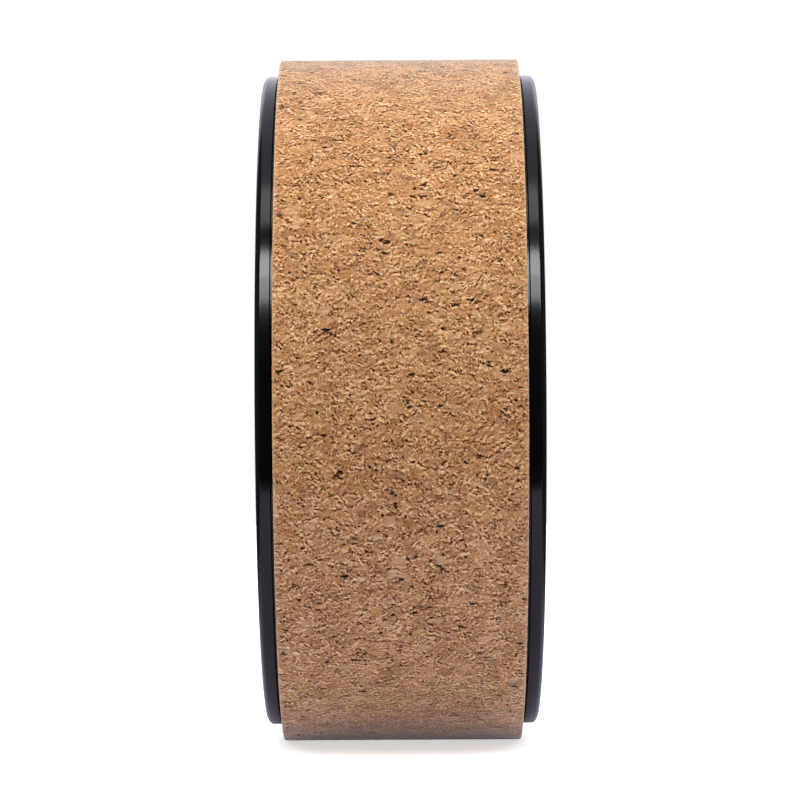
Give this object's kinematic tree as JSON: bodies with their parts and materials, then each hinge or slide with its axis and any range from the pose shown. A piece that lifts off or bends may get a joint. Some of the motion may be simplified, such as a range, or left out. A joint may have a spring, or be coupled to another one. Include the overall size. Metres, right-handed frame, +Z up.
{
  "type": "yoga wheel",
  "caption": "Yoga wheel: a hollow black plastic ring with raised rounded lips, wrapped in foam and a cork tread, for rolling and supporting the back in stretches.",
  "frame": {"origin": "centre of the wheel, on its axis and half-way along its width", "axes": "+Y along the wheel's axis towards the right-hand lip of the picture, +Z up with the wheel standing on its tread, +X towards the picture's camera"},
  "size_m": [0.33, 0.13, 0.33],
  "materials": {
    "shell": "satin-gloss black ABS",
    "tape": "matte film",
    "foam": "matte closed-cell foam",
    "cork": "sanded agglomerated cork"
  },
  "bodies": {
    "root": {"left_shell": "shell", "right_shell": "shell", "pad_tape": "tape", "foam_underlay": "foam", "cork_cover": "cork"}
  },
  "joints": []
}
